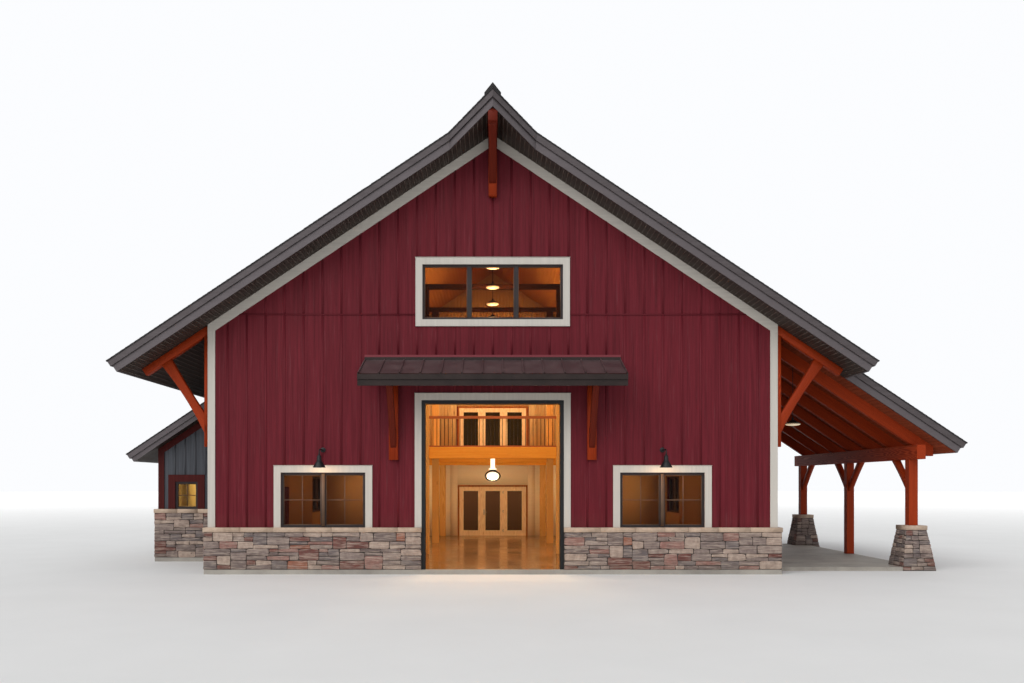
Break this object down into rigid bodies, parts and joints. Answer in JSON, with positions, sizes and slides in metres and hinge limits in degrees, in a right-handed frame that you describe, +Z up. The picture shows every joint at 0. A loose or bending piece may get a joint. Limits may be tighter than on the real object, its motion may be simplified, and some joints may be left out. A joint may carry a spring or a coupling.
{
  "type": "timber framed barn",
  "caption": "Red board and batten barn on a stone base, with a prow roof, timber brackets, an open side porch, a lean-to wing and a loft inside.",
  "frame": {"origin": "on the ground at the middle of the main barn, under the floor slab", "axes": "+X to the right seen from the front, +Y to the back, +Z up"},
  "size_m": [23.34, 18.158, 11.8515],
  "materials": {
    "concrete": "polished concrete",
    "ledgestone": "split ledgestone",
    "limestone": "sawn limestone",
    "red_siding": "painted board and batten siding",
    "grey_siding": "painted siding",
    "pale_trim": "painted trim boards",
    "red_trim": "painted trim boards",
    "bronze_metal": "dark bronze folded metal",
    "black_metal": "satin black paint",
    "roofing": "dark roof shingles",
    "dark_frame": "dark bronze window frame",
    "brown_wood": "dark stained wood",
    "stained_timber": "orange stained timber",
    "honey_timber": "clear finished pine",
    "glass": "clear window glass",
    "steel": "brushed hardware"
  },
  "bodies": {
    "barn": {"floor_slab": "concrete", "porch_slab": "concrete", "end_stone": "ledgestone", "side_stone": "ledgestone", "wing_stone": "ledgestone", "stone_caps": "limestone", "front_wall_left": "red_siding", "front_wall_right": "red_siding", "front_gable": "red_siding", "left_wall": "red_siding", "right_wall": "red_siding", "back_wall_left": "red_siding", "back_wall_right": "red_siding", "back_gable": "red_siding", "wing_end_walls": "grey_siding", "wing_side_wall": "grey_siding", "corner_boards": "pale_trim", "rake_friezes": "pale_trim", "door_casing": "pale_trim", "door_jamb": "black_metal", "window_casings": "pale_trim", "wing_trim": "red_trim", "window_frames": "dark_frame", "window_glass": "glass", "patio_frames": "honey_timber", "patio_casings": "brown_wood", "frame_hinges": "steel", "roof_left": "honey_timber", "roof_right": "honey_timber", "roofing": "roofing", "roof_fascia": "bronze_metal", "soffits": "bronze_metal", "ridge_cap": "roofing", "porch_roof": "stained_timber", "porch_ceiling": "stained_timber", "wing_roof": "bronze_metal", "awning_roof": "bronze_metal", "awning_brackets": "stained_timber", "prow_brackets": "stained_timber", "eave_brackets": "stained_timber", "porch_piers": "ledgestone", "porch_posts": "stained_timber", "porch_beam": "stained_timber", "porch_braces": "stained_timber", "porch_rafters": "stained_timber", "hall_posts": "honey_timber", "hall_beams": "honey_timber", "loft_floor": "honey_timber", "loft_railing": "honey_timber", "barn_lights": "black_metal", "pendant_lights": "black_metal"},
    "back_door": {"back_door_leaf": "honey_timber", "back_door_glass": "glass", "back_door_hardware": "steel"}
  },
  "joints": [
    {"name": "back_door_swing", "type": "hinge", "parent": "barn", "child": "back_door", "pos_m": [0.44017, 7.116, 0], "axis": [0, 0, 1], "range_deg": [0, 95]}
  ]
}
